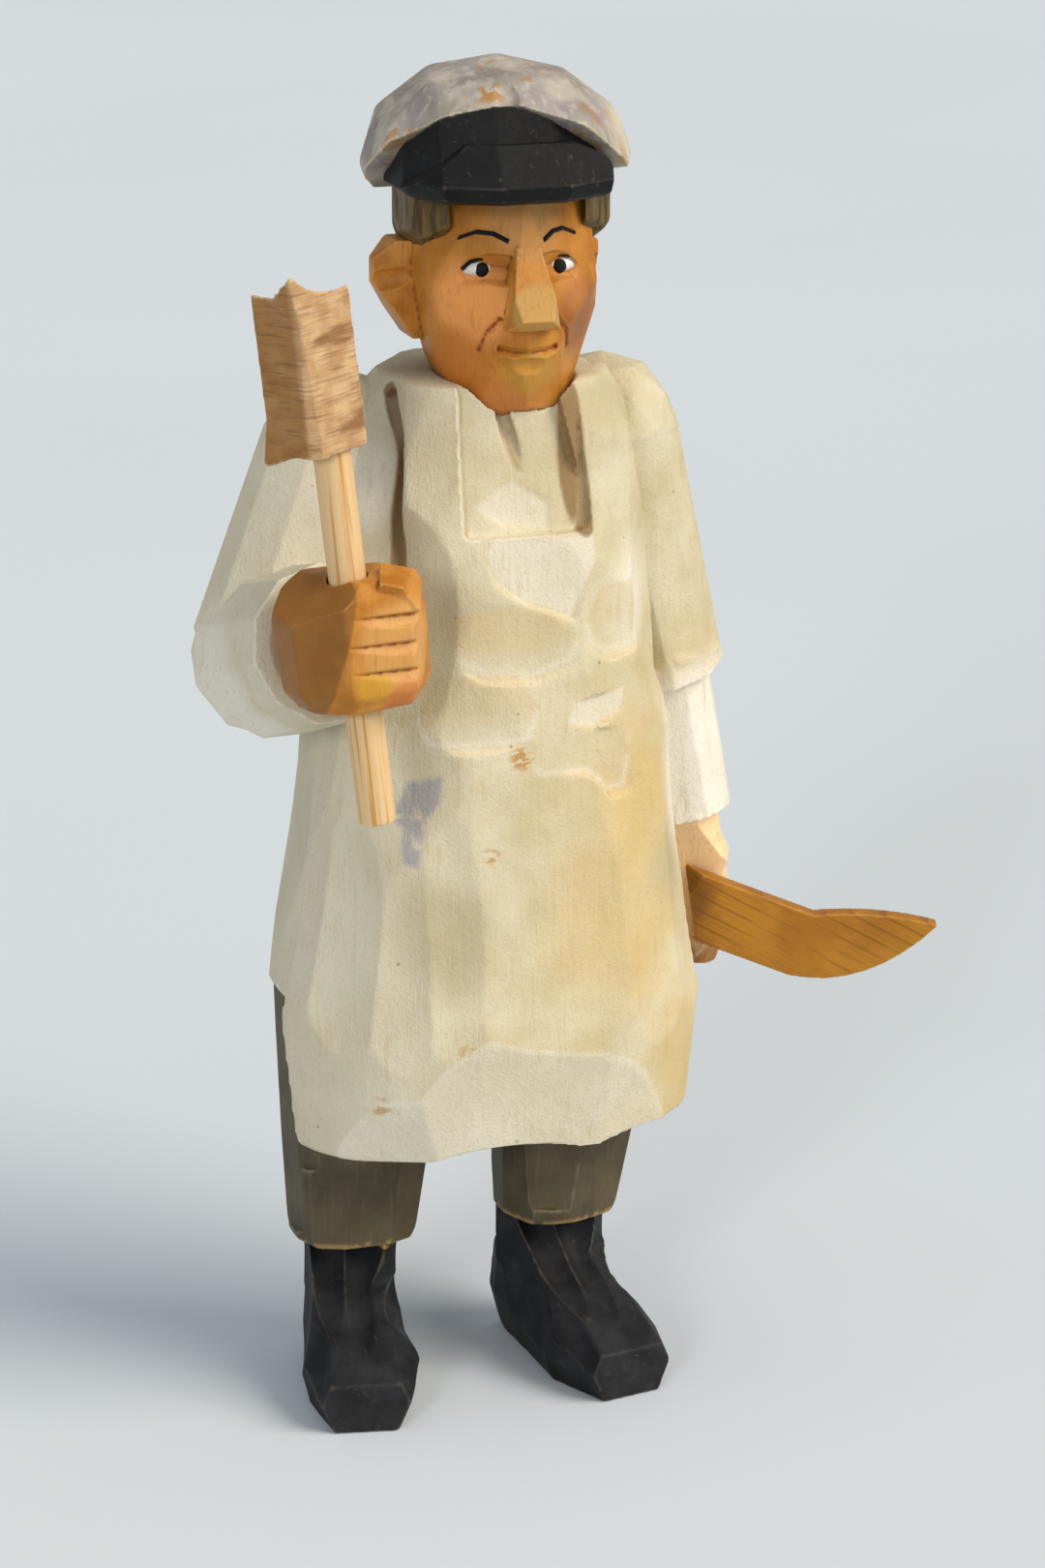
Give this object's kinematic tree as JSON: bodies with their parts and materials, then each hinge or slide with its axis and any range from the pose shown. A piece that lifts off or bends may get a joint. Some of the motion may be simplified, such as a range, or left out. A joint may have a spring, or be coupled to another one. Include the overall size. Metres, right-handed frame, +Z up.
{
  "type": "carved baker figure",
  "caption": "Carved and painted wooden baker in a long apron and peaked cap, with a block brush that turns in the right fist and a curved paddle that draws out of the left hand.",
  "frame": {"origin": "middle of the figure's box, on the floor under the shoes", "axes": "+Z up; the figure faces -Y and its right hand, with the brush, is on the -X side"},
  "size_m": [0.1264, 0.0728, 0.226],
  "materials": {
    "cream_paint": "worn matt paint on carved wood",
    "white_paint": "worn matt paint on carved wood",
    "black_paint": "worn satin paint on carved wood",
    "grey_paint": "thin matt stain on carved wood",
    "flesh_wood": "tinted and waxed carved wood",
    "pine_wood": "bare turned wood",
    "brown_wood": "bare rough-sawn wood",
    "gold_wood": "waxed carved wood"
  },
  "bodies": {
    "figure": {"right_shoe": "black_paint", "left_shoe": "black_paint", "right_leg": "grey_paint", "left_leg": "grey_paint", "right_ankle_peg": "pine_wood", "left_ankle_peg": "pine_wood", "right_hip_peg": "pine_wood", "left_hip_peg": "pine_wood", "torso_block": "cream_paint", "neck_peg": "pine_wood", "head_block": "flesh_wood", "cap_peg": "pine_wood", "cap_band": "black_paint", "cap_visor": "black_paint", "cap_crown": "white_paint", "right_shoulder_peg": "pine_wood", "left_shoulder_peg": "pine_wood", "right_sleeve": "cream_paint", "left_sleeve": "cream_paint", "right_fist": "flesh_wood", "left_hand": "flesh_wood"},
    "brush": {"brush_handle": "pine_wood", "brush_head": "brown_wood"},
    "paddle": {"paddle": "gold_wood"}
  },
  "joints": [
    {"name": "brush_turn", "type": "hinge", "parent": "figure", "child": "brush", "pos_m": [-0.04737, -0.02763, 0.1415], "axis": [-0.1115, 0, 0.9938], "continuous": true},
    {"name": "paddle_draw", "type": "slide", "parent": "figure", "child": "paddle", "axis": [0.8879, -0.2885, -0.3584], "range_m": [0, 0.005]}
  ]
}
